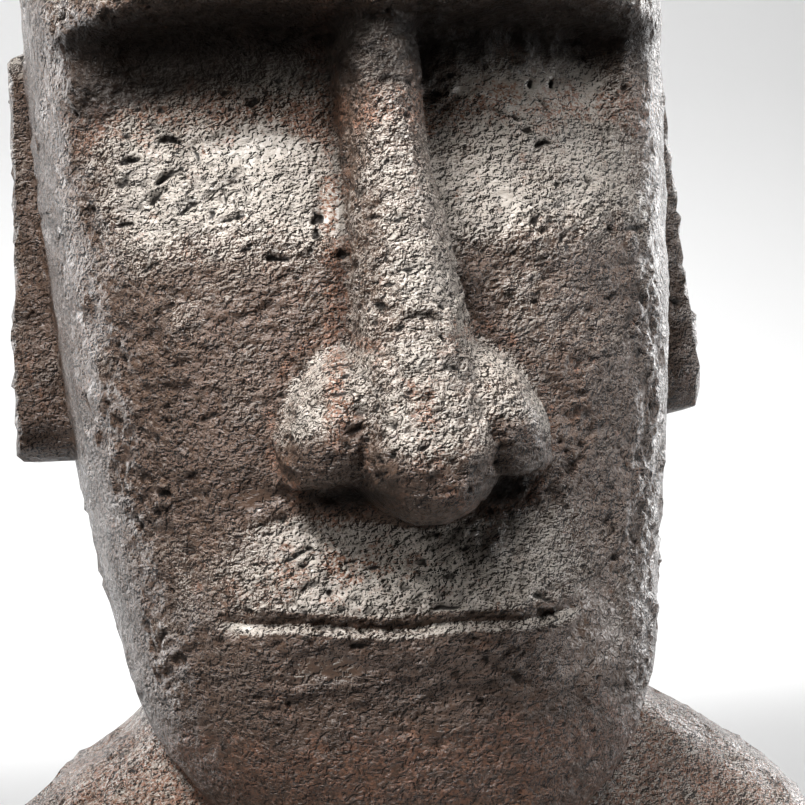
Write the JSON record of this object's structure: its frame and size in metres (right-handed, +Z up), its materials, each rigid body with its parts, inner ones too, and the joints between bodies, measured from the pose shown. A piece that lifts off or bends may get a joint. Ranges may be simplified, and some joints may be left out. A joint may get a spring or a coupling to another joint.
{
  "type": "moai head statue",
  "caption": "Tall stone-look head on a plain bust, with a heavy brow, long straight nose, closed mouth and long ears.",
  "frame": {"origin": "middle of the flat underside that the bust stands on", "axes": "+Z up along the head, the face looks towards -Y, +X is on the viewer's right"},
  "size_m": [0.318, 0.2521, 0.506],
  "materials": {
    "weathered_stone": "coarse cast surface, dark brown with rust undertone and pale dry-brushed grain, satin speckle"
  },
  "bodies": {
    "root": {"moai_bust": "weathered_stone"}
  },
  "joints": []
}
